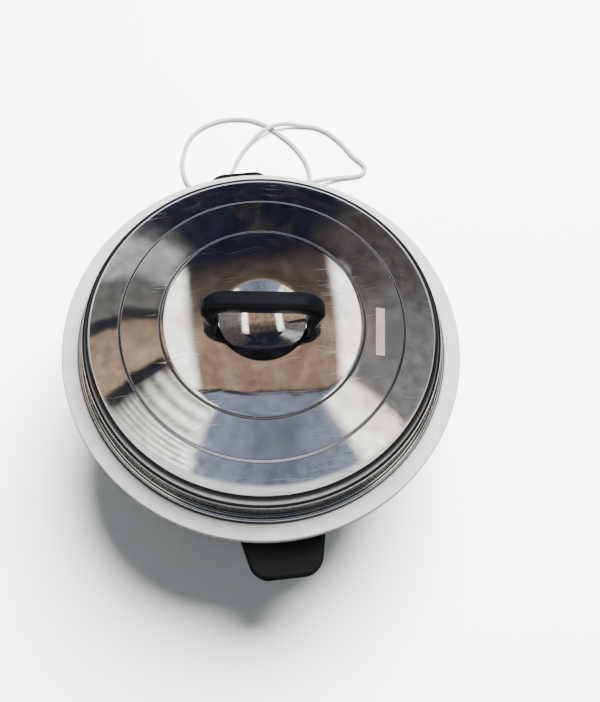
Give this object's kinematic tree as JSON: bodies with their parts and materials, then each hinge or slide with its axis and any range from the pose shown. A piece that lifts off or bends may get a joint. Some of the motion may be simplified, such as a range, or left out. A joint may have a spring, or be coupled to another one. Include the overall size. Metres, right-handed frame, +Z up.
{
  "type": "wax warmer pot",
  "caption": "Round electric wax warmer: metal casing with side handles and a knob, lift-out pan with a wide flange, stepped polished lid with a bridge handle, and a thin pale cord.",
  "frame": {"origin": "centre of the base on the table, under the pot's upright axis", "axes": "+Z up along the pot's axis, front side handle towards -Y, control knob towards +X, cord leaves towards +Y"},
  "size_m": [0.332, 0.5309, 0.2202],
  "materials": {
    "lid_steel": "mirror-polished stainless steel with fine wiping marks",
    "pan_aluminium": "spun, fine turning marks",
    "rim_aluminium": "bead-blasted, matte",
    "casing_steel": "brushed round the casing",
    "base_steel": "black powder coat",
    "handle_phenolic": "satin black moulding",
    "panel_plastic": "fine spark texture",
    "knob_plastic": "satin",
    "print_white": "flat",
    "dial_metal": "spun",
    "foot_rubber": "matte",
    "seal_silicone": "satin",
    "mineral_wool": "fibrous",
    "plate_aluminium": "machined",
    "element_sheath": "heat-darkened",
    "zinc_steel": "bright zinc",
    "copper": "drawn",
    "terminal_brass": "turned",
    "ceramic_white": "unglazed",
    "wire_sleeve": "smooth",
    "lamp_red": "clear red",
    "lamp_white": "gloss",
    "cord_pvc": "satin",
    "plug_pvc": "satin",
    "pin_nickel": "nickel plated",
    "label_film": "clear film, blank"
  },
  "bodies": {
    "warmer": {"casing_shell": "casing_steel", "casing_seal": "seal_silicone", "base_plate": "base_steel", "base_screws": "zinc_steel", "rubber_feet": "foot_rubber", "foot_screws": "zinc_steel", "insulation_blanket": "mineral_wool", "side_handle_front": "handle_phenolic", "side_handle_rear": "handle_phenolic", "handle_screws": "zinc_steel", "heating_plate": "plate_aluminium", "heating_element": "element_sheath", "element_clamps": "zinc_steel", "clamp_screws": "zinc_steel", "heat_shield": "zinc_steel", "plate_posts": "zinc_steel", "post_screws": "zinc_steel", "sensor_bulb": "copper", "sensor_capillary": "copper", "thermal_fuse": "ceramic_white", "control_panel": "panel_plastic", "panel_screws": "zinc_steel", "dial_plate": "dial_metal", "thermostat_body": "ceramic_white", "thermostat_nut": "zinc_steel", "pilot_lamp_lens": "lamp_red", "pilot_lamp_body": "lamp_white", "terminal_block": "ceramic_white", "terminal_screws": "terminal_brass", "internal_wires": "wire_sleeve", "earth_stud": "terminal_brass", "cord_gland": "cord_pvc", "supply_cord": "cord_pvc", "cord_coil": "cord_pvc", "cord_tail": "cord_pvc", "plug_body": "plug_pvc", "plug_pins": "pin_nickel"},
    "knob": {"control_knob": "knob_plastic", "knob_spindle": "zinc_steel", "knob_pointer": "print_white"},
    "pan": {"wax_pan": "pan_aluminium", "pan_rim": "rim_aluminium"},
    "lid": {"lid_shell": "lid_steel", "lid_handle": "handle_phenolic", "lid_handle_screws": "zinc_steel", "lid_handle_washers": "zinc_steel", "lid_label": "label_film"}
  },
  "joints": [
    {"name": "pan_lift", "type": "slide", "parent": "warmer", "child": "pan", "axis": [0, 0, 1], "range_m": [0, 0.12]},
    {"name": "lid_lift", "type": "slide", "parent": "pan", "child": "lid", "axis": [0, 0, 1], "range_m": [0, 0.12]},
    {"name": "knob_turn", "type": "hinge", "parent": "warmer", "child": "knob", "pos_m": [0.148, 0, 0.038], "axis": [1, 0, 0], "range_deg": [-270, 0]}
  ]
}
